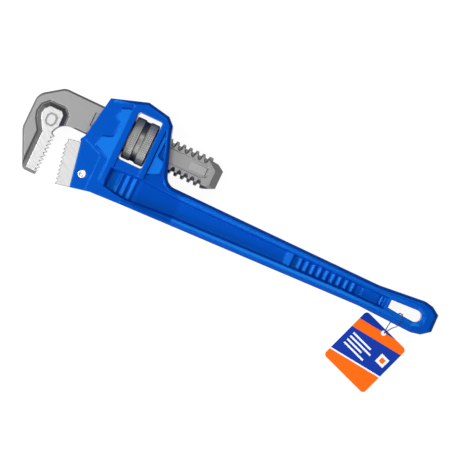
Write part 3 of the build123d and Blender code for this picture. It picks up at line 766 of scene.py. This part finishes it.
@dataclass
class TagString:
    """Thin twisted cord that is tied through the tag's hole and round the rail of the hang slot."""

    layout: Layout
    diameter: float = 0.8 * MM
    length: float = 77.5 * MM
    knot_turns: tuple[tuple[float, float], ...] = ((0.0, 0.12), (75.0, -0.12))
    knot_reach: float = 0.75
    knot_sides: int = 12
    knot_steps: int = 20

    def route(self) -> list[Vector]:
        """Leads the cord from its knot through the hole, round the rail and back.

        Returns:
            The points that guide the cord, in the frame.
        """
        x, y = self.layout.tag_hole
        points = [
            (1.3, 10.7, -9.95), (1.0, 8.6, -9.8), (0.6, 6.0, -9.3), (0.5, 4.0, -8.8), (0.4, 2.4, -8.8),
            (0.4, 0.55, -8.85), (0.5, 0.0, -9.8), (0.8, 0.5, -10.72), (1.7, 2.3, -10.75), (3.0, 4.4, -10.6),
            (4.0, 6.0, -9.2), (4.9, 7.2, -5.4), (5.6, 8.1, -0.6), (6.1, 8.7, 4.2), (6.3, 9.0, 8.4),
            (6.4, 11.4, 11.0), (6.4, 14.4, 11.25), (6.4, 17.5, 11.3), (6.5, 19.6, 9.5), (6.5, 19.5, 5.6),
            (6.3, 19.4, 0.4), (6.0, 19.45, -4.6), (5.2, 19.8, -8.4), (4.1, 18.7, -10.7), (2.9, 15.6, -10.75),
            (2.0, 13.0, -10.7), (1.5, 11.2, -10.15),
        ]
        return [self.layout.at(x + dx, y + dy, z) for dx, dy, z in points]

    def build(self) -> bpy.types.Object:
        """Makes the cord as one smooth curve, with its knot beside it.

        Returns:
            The cord.
        """
        curve = bpy.data.curves.new("string_curve", "CURVE")
        curve.dimensions = "3D"
        curve.bevel_depth = self.diameter / 2
        curve.bevel_resolution = 4
        curve.resolution_u = 12
        curve.use_fill_caps = True
        spline = curve.splines.new("NURBS")
        points = self.route()
        spline.points.add(len(points) - 1)
        for point, where in zip(spline.points, points):
            point.co = (*where, 1.0)
        spline.order_u = 3
        spline.use_endpoint_u = True
        cord = bpy.data.objects.new("string", curve)
        bpy.context.scene.collection.objects.link(cord)
        curve.materials.append(NAVY_CORD.material())
        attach(cord, Body.CASTING.value)
        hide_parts("tag_string")
        knot = self.knot(points[0])
        return cord

    def knot(self, where: Vector) -> bpy.types.Object:
        """Makes the overhand knot that closes the loop, as two crossed turns of the cord.

        Args:
            where: The middle of the knot.

        Returns:
            The knot.
        """
        bm = bmesh.new()
        for turn, lift in self.knot_turns:
            ring = bmesh.ops.create_circle(bm, segments=self.knot_sides, radius=self.diameter / 2)["verts"]
            bmesh.ops.rotate(bm, verts=ring, cent=(0, 0, 0), matrix=Matrix.Rotation(math.pi / 2, 3, "X"))
            bmesh.ops.translate(bm, verts=ring, vec=(self.diameter * self.knot_reach, 0, 0))
            edges = list({edge for vert in ring for edge in vert.link_edges})
            bmesh.ops.spin(bm, geom=ring + edges, cent=(0, 0, 0), axis=(0, 0, 1), angle=math.tau,
                           steps=self.knot_steps, use_merge=True)
            new = [vert for vert in bm.verts if not vert.tag]
            tilt = Matrix.Rotation(math.radians(turn), 3, "X")
            tilt = tilt @ Matrix.Rotation(math.radians(turn / 2), 3, "Z")
            bmesh.ops.rotate(bm, verts=new, cent=(0, 0, 0), matrix=tilt)
            bmesh.ops.translate(bm, verts=new, vec=(0, 0, lift * MM))
            for vert in new:
                vert.tag = True
        bmesh.ops.translate(bm, verts=bm.verts, vec=where)
        knot = mesh_object("string_knot", bm)
        knot.data.shade_smooth()
        finish_faces(knot, [NAVY_CORD.material()])
        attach(knot, Body.CASTING.value)
        return knot


@dataclass
class Casting:
    """The cast handle and head, powder coated, with every edge softened as the sand leaves it."""

    layout: Layout
    edge_radius: float = 0.38 * MM
    rail_level: float = 10.0
    rail_step: float = 0.8
    rail_start: float = 47.0
    near: float = 0.02
    weld: float = 0.01 * MM
    bend: float = 0.05 * MM

    def slope_rails(self, mesh: bpy.types.Mesh) -> None:
        """Draws the low step along the rails out into one sloped face, from the rim down to the channel.

        Args:
            mesh: The casting's mesh.
        """
        bm = bmesh.new()
        bm.from_mesh(mesh)
        walls = [face for face in bm.faces if abs(face.normal.z) < STEEP]
        feet = {}
        for wall in walls:
            places = {corner: self.layout.local(corner.co) for corner in wall.verts}
            if any(abs(abs(place.z) - self.rail_level) < self.near for place in places.values()):
                feet.update({corner: place for corner, place in places.items() if place.x > self.rail_start
                             and abs(abs(place.z) - self.rail_level + self.rail_step) < self.near})
        for corner, place in feet.items():
            corner.co = self.layout.at(place.x, place.y, math.copysign(self.rail_level, place.z))
        bmesh.ops.remove_doubles(bm, verts=bm.verts, dist=self.weld)
        bmesh.ops.dissolve_degenerate(bm, edges=bm.edges, dist=self.weld)
        bent = [face for face in bm.faces if self.is_bent(face)]
        bmesh.ops.triangulate(bm, faces=bent, ngon_method="BEAUTY")
        bm.to_mesh(mesh)
        bm.free()

    def is_bent(self, face: bmesh.types.BMFace) -> bool:
        """Says whether a face's corners no longer lie in one plane."""
        first = face.verts[0].co
        return any(abs((corner.co - first).dot(face.normal)) > self.bend for corner in face.verts)

    def build(self) -> bpy.types.Object:
        """Makes the casting.

        Returns:
            The casting.
        """
        body = merged_copy("handle", "cast_handle")
        self.slope_rails(body.data)
        round_edges(body, self.edge_radius)
        finish_faces(body, [BLUE_COAT.material()])
        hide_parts("handle")
        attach(body, Body.CASTING.value)
        return body


@dataclass
class HookJaw:
    """Forged hook jaw: grey forged skin, with its raised land and its teeth ground bright."""

    layout: Layout
    edge_radius: float = 0.3 * MM
    land_height: float = 10.5
    tooth_line: float = -62.5
    tooth_depth: float = 2.6
    tooth_top: float = -24.5
    tooth_end: float = -55.1
    shank_start: float = -30.0
    thread_root: float = 9.0
    tail_start: float = 59.5
    skin: float = 0.2
    flank_margin: float = 0.1
    keep_margin: float = 0.3
    stamp_place: tuple[float, float] = (-69.7, -13.9)
    stamp_size: tuple[float, float] = (4.4, 5.3)
    stamp_width: float = 1.5
    stamp_depth: float = 0.5
    stamp_clear: float = 1.0

    def octagon(self, width: float, height: float) -> list[tuple[float, float]]:
        """Finds the corners of an upright octagon about the middle of the stamp.

        Args:
            width: Half its width in millimetres.
            height: Half its height.

        Returns:
            Its corners in order, in millimetres from the middle of the nut.
        """
        x, y = self.stamp_place
        quarter = [(width, height * 0.5), (width * 0.5, height)]
        half = quarter + [(-a, b) for a, b in reversed(quarter)]
        return [(x + a, y + b) for a, b in half + [(-a, -b) for a, b in half]]

    def stamp(self) -> bpy.types.Object:
        """Makes the plain ring that is pressed into the land on both sides.

        Returns:
            The two rings as one cutter.
        """
        width, height = self.stamp_size
        outer = self.octagon(width, height)
        inner = self.octagon(width - self.stamp_width, height - self.stamp_width)
        heights = (self.land_height - self.stamp_depth, self.land_height + self.stamp_clear)
        bm = bmesh.new()
        for side in (1, -1):
            loops = [[bm.verts.new(self.layout.at(x, y, side * z)) for x, y in ring]
                     for ring in (outer, inner) for z in heights]
            for first, second in ((0, 1), (1, 3), (3, 2), (2, 0)):
                pairs = list(zip(loops[first], loops[second]))
                for (a, b), (c, d) in zip(pairs, pairs[1:] + pairs[:1]):
                    bm.faces.new((a, c, d, b))
        return mesh_object("stamp_cutter", bm)

    def is_ground(self, face: bpy.types.MeshPolygon) -> int:
        """Says whether a face is ground: the top of the land, or a flank of the teeth.

        Args:
            face: The face to judge.

        Returns:
            One for a ground face and none for a forged one.
        """
        where = self.layout.local(face.center)
        if abs(face.normal.z) > LEVEL and abs(where.z) > self.land_height - self.skin:
            return 1
        root = self.tooth_line - self.tooth_depth - self.flank_margin
        deep = root < where.x < self.tooth_line + self.flank_margin
        return int(deep and self.tooth_end < where.y < self.tooth_top)

    def is_toothed(self, place: Vector) -> bool:
        """Says whether a place is on the jaw's teeth, or on the thread or tail of the shank.

        Args:
            place: The place in the frame.

        Returns:
            Whether edges there stay sharp.
        """
        where = self.layout.local(place)
        root = self.tooth_line - self.tooth_depth - self.keep_margin
        on_jaw = root < where.x < self.tooth_line + self.keep_margin and where.y < self.tooth_top
        threaded = abs(where.y) > self.thread_root or where.x > self.tail_start
        return on_jaw or (where.x > self.shank_start and threaded)

    def build(self) -> bpy.types.Object:
        """Makes the hook jaw with its shank.

        Returns:
            The jaw.
        """
        jaw = merged_copy("hook_jaw", "forged_hook_jaw")
        cut_away(jaw, self.stamp())
        finish_faces(jaw, [FORGED.material(), GROUND.material()], self.is_ground)
        round_edges(jaw, self.edge_radius, keep_out=self.is_toothed)
        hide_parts("hook_jaw")
        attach(jaw, Body.HOOK.value)
        return jaw


@dataclass
class HeelJaw:
    """Toothed heel jaw, ground bright, with the pin that holds it."""

    edge_radius: float = 0.32 * MM
    rounded_turn: float = 60.0
    dimple_share: float = 0.55
    dimple_depth: float = 0.5 * MM
    dimple_steps: int = 5
    pin_chamfer: float = 0.3 * MM
    pin_sides: int = 40
    weld: float = 0.001 * MM

    def build(self) -> list[bpy.types.Object]:
        """Makes the jaw and its pin.

        Returns:
            The jaw and the pin.
        """
        jaw = merged_copy("heel_jaw", "ground_heel_jaw")
        finish_faces(jaw, [GROUND.material(), PAINTED_EDGE_SHADE.material()])
        # The roundings take the darker steel, a painted shade along each rounded edge
        round_edges(jaw, self.edge_radius, segments=1, sharp=self.rounded_turn, edge_material=1)
        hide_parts("heel_jaw")
        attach(jaw, Body.CASTING.value)
        return [jaw, self.pin()]

    def pin(self) -> bpy.types.Object:
        """Makes the pin, with the dimple that the punch leaves in each end.

        Returns:
            The pin.
        """
        low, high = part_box("heel_jaw_pin")
        middle, half, radius = (low + high) / 2, (high.z - low.z) / 2, (high.x - low.x) / 2
        hollow = radius * self.dimple_share
        angles = [i / self.dimple_steps * math.pi / 2 for i in range(1, self.dimple_steps + 1)]
        end = [(hollow * math.sin(angle), half - self.dimple_depth * math.cos(angle)) for angle in angles]
        end += [(radius - self.pin_chamfer, half), (radius, half - self.pin_chamfer)]
        profile = [(0.0, half - self.dimple_depth)] + end
        profile += [(r, -z) for r, z in reversed(profile)]
        bm = bmesh.new()
        line = [bm.verts.new((r, 0.0, z)) for r, z in profile]
        edges = [bm.edges.new(pair) for pair in zip(line, line[1:])]
        bmesh.ops.spin(bm, geom=line + edges, cent=(0, 0, 0), axis=(0, 0, 1), angle=math.tau,
                       steps=self.pin_sides, use_merge=True)
        bmesh.ops.remove_doubles(bm, verts=bm.verts, dist=self.weld)
        bmesh.ops.translate(bm, verts=bm.verts, vec=middle)
        pin = mesh_object("punched_pin", bm)
        pin.data.shade_smooth()
        finish_faces(pin, [PIN_TURNED.material()])
        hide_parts("heel_jaw_pin")
        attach(pin, Body.CASTING.value)
        return pin


@dataclass
class AdjustingNut:
    """Knurled adjusting nut: two bands of diamond knurling with a smooth waist between them."""

    layout: Layout
    radius: float = 17.55
    bore: float = 13.12
    length: float = 18.7
    chamfer: float = 0.8
    waist: float = 5.0
    waist_depth: float = 0.9
    diamonds: int = 60
    rows: int = 6
    knurl_depth: float = 0.4
    band_skin: float = 0.6
    near: float = 0.1

    def profile(self) -> list[tuple[float, float]]:
        """Draws half the nut's section, without the knurling's depth.

        Returns:
            Its corners as (along, out) in millimetres.
        """
        half, groove = self.length / 2, self.waist / 2
        start, end = groove, half - self.chamfer
        band = [(start + (end - start) * i / self.rows, self.radius) for i in range(self.rows + 1)]
        waist_radius = self.radius - self.waist_depth
        side = [(0.0, waist_radius), (groove - self.waist_depth, waist_radius)]
        side += band + [(half, self.radius - self.chamfer), (half, self.bore)]
        return [(-x, r) for x, r in reversed(side[1:])] + side

    def build(self) -> bpy.types.Object:
        """Makes the nut by spinning its section and pressing in the knurl.

        Returns:
            The nut.
        """
        bm = bmesh.new()
        loop = [bm.verts.new((x * MM, 0.0, r * MM)) for x, r in self.profile()]
        edges = [bm.edges.new(pair) for pair in zip(loop, loop[1:] + loop[:1])]
        steps = 2 * self.diamonds
        bmesh.ops.spin(bm, geom=loop + edges, cent=(0, 0, 0), axis=(1, 0, 0), angle=math.tau, steps=steps,
                       use_merge=True)
        self.press_knurl(bm, steps)
        bmesh.ops.translate(bm, verts=bm.verts, vec=self.layout.middle)
        nut = mesh_object("knurled_nut", bm)
        middle = self.layout.middle
        bands = KnurledSteel("knurled_steel", "#F4F4F2", 0.4, 0.2, axis=(middle.y, middle.z),
                             crest=self.radius, valley=self.radius - self.knurl_depth)
        waist = TurnedSteel("turned_steel", "#787876", 0.36, 0.8, shade="#5C5C5A")
        half = self.length / 2 - self.chamfer
        steels = [bands.material(), waist.material()]
        finish_faces(nut, steels, lambda face: int(not self.is_band(face, half)))
        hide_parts("adjusting_nut")
        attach(nut, Body.NUT.value)
        return nut

    def is_band(self, face: bpy.types.MeshPolygon, half: float) -> bool:
        """Says whether a face is on one of the knurled bands.

        Args:
            face: The face to judge.
            half: How far the bands reach from the middle, in millimetres.

        Returns:
            Whether the face is knurled.
        """
        where = self.layout.local(face.center)
        out = math.hypot(where.y, where.z)
        return self.waist / 2 < abs(where.x) < half and out > self.radius - self.band_skin

    def press_knurl(self, bm: bmesh.types.BMesh, steps: int) -> None:
        """Sinks every other point of both bands, and creases the faces between the sunk points.

        Args:
            bm: The spun nut.
            steps: How many steps the spin took.
        """
        start, end = self.waist / 2, self.length / 2 - self.chamfer
        row = (end - start) / self.rows
        valleys = []
        for vert in bm.verts:
            along, out = abs(vert.co.x) / MM, math.hypot(vert.co.y, vert.co.z) / MM
            if out < self.radius - self.near or not start - self.near < along < end + self.near:
                continue
            ring = round(math.atan2(vert.co.y, vert.co.z) / math.tau * steps)
            if (ring + round((along - start) / row)) % 2:
                scale = (self.radius - self.knurl_depth) / self.radius
                vert.co = Vector((vert.co.x, vert.co.y * scale, vert.co.z * scale))
                valleys.append(vert)
        bmesh.ops.connect_verts(bm, verts=valleys, check_degenerate=False)


@dataclass
class SpringSet:
    """Leaf, rivet and coil under the shank, in tempered spring steel."""

    nodes: tuple[str, ...] = ("flat_spring", "spring_rivet")
    leaf_drop: float = 0.85 * MM

    def coil(self) -> bpy.types.Object:
        """Makes the coil as a copy of its imported node.

        Returns:
            The coil.
        """
        spring = merged_copy("coil_spring", "tempered_coil")
        spring.data.shade_smooth()
        finish_faces(spring, [TEMPERED.material()])
        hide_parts("coil_spring")
        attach(spring, Body.CASTING.value)
        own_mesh(spring)
        return spring

    def build(self) -> None:
        """Gives the springs their tempered finish."""
        for name in self.nodes:
            finish_faces(bpy.data.objects[name], [TEMPERED.material()])
        self.coil()


@dataclass(frozen=True)
class Patch:
    """One printed patch of the tag: a convex outline in the card's own millimetres, and its ink."""

    ink: Ink
    outline: tuple[tuple[float, float], ...]

    @classmethod
    def bar(cls, ink: Ink, left: float, top: float, width: float, height: float) -> "Patch":
        """A level bar, from its top left corner."""
        right, low = left + width, top - height
        return cls(ink, ((left, low), (right, low), (right, top), (left, top)))

    def sides(self) -> Iterable[tuple[Vector, Vector]]:
        """Each side as a point and the direction that points out of the patch."""
        for (x0, y0), (x1, y1) in zip(self.outline, self.outline[1:] + self.outline[:1]):
            yield Vector((x0, y0, 0.0)), Vector((y1 - y0, x0 - x1, 0.0)).normalized()

    def holds(self, place: Vector) -> bool:
        """Says whether a place is inside the patch."""
        return all((place - start).dot(outward) < 0 for start, outward in self.sides())


@dataclass
class HangTag:
    """Printed card with a plain design of bands and bars in three inks."""

    layout: Layout
    turn: float = -19.6
    bar_widths: tuple[float, ...] = (19.0, 22.0, 15.5, 20.5)
    bar_pitch: float = 3.4
    cut_reach: float = 1e-4

    def design(self) -> list[Patch]:
        """Lays out a slanting foot with a light edge, a slanting stripe, bars and a square.

        Returns:
            The printed patches, later ones on top.
        """
        foot = ((-22.0, -46.0), (23.0, -46.0), (23.0, -27.0), (-22.0, -38.0))
        foot_edge = ((-22.0, -38.0), (23.0, -27.0), (23.0, -25.7), (-22.0, -36.7))
        stripe = ((-22.0, -13.4), (23.0, -2.4), (23.0, 4.0), (14.0, 4.0), (-22.0, -4.8))
        bars = [Patch.bar(Ink.WHITE, -17.0, -15.5 - self.bar_pitch * row, width, 1.5)
                for row, width in enumerate(self.bar_widths)]
        bands = [Patch(Ink.ORANGE, foot), Patch(Ink.WHITE, foot_edge), Patch(Ink.ORANGE, stripe)]
        square = [Patch.bar(Ink.WHITE, 10.5, -12.0, 8.0, 8.0), Patch.bar(Ink.ORANGE, 12.5, -14.0, 4.0, 4.0)]
        return bands + bars + square

    def print_face(self, bm: bmesh.types.BMesh) -> None:
        """Cuts the card along the sides of each patch and inks what lies inside on its face.

        Args:
            bm: The card in its own millimetres.
        """
        patches = self.design()
        for patch in patches:
            for start, outward in patch.sides():
                bmesh.ops.bisect_plane(bm, geom=[*bm.verts, *bm.edges, *bm.faces], dist=self.cut_reach,
                                       plane_co=start, plane_no=outward)
        for face in bm.faces:
            face.material_index = Ink.NAVY.value
            for patch in patches:
                if face.normal.z > LEVEL and patch.holds(face.calc_center_median()):
                    face.material_index = patch.ink.value

    def build(self) -> bpy.types.Object:
        """Makes the card with its printed face.

        Returns:
            The card.
        """
        card = merged_copy("hang_tag", "printed_card")
        place = Matrix.Translation(self.layout.at(*self.layout.tag_hole))
        place = place @ Matrix.Rotation(math.radians(self.turn), 4, "Z")
        bm = bmesh.new()
        bm.from_mesh(card.data)
        bmesh.ops.transform(bm, matrix=Matrix.Scale(1 / MM, 4) @ place.inverted(), verts=bm.verts)
        self.print_face(bm)
        bmesh.ops.transform(bm, matrix=place @ Matrix.Scale(MM, 4), verts=bm.verts)
        bm.to_mesh(card.data)
        bm.free()
        for ink in (NAVY_INK, ORANGE_INK, WHITE_INK):
            card.data.materials.append(ink.material())
        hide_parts("hang_tag")
        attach(card, Body.TAG.value)
        return card


def main() -> None:
    """Builds the studio and every piece, and reports each through the log."""
    logging.basicConfig(level=logging.INFO, format="%(name)s: %(message)s")
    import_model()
    layout = Layout.from_frame()
    studio = Studio(layout)
    studio.camera()
    LOG.info("string %s", TagString(layout).build().name)
    LOG.info("casting %s", Casting(layout).build().name)
    LOG.info("hook jaw %s", HookJaw(layout).build().name)
    LOG.info("heel jaw %s", [piece.name for piece in HeelJaw().build()])
    LOG.info("nut %s", AdjustingNut(layout).build().name)
    SpringSet().build()
    LOG.info("springs dressed")
    LOG.info("tag %s", HangTag(layout).build().name)
    studio.build()
    bpy.context.scene.view_settings.view_transform = "Standard"
    bpy.context.view_layer.update()


if __name__ == "__main__":
    main()
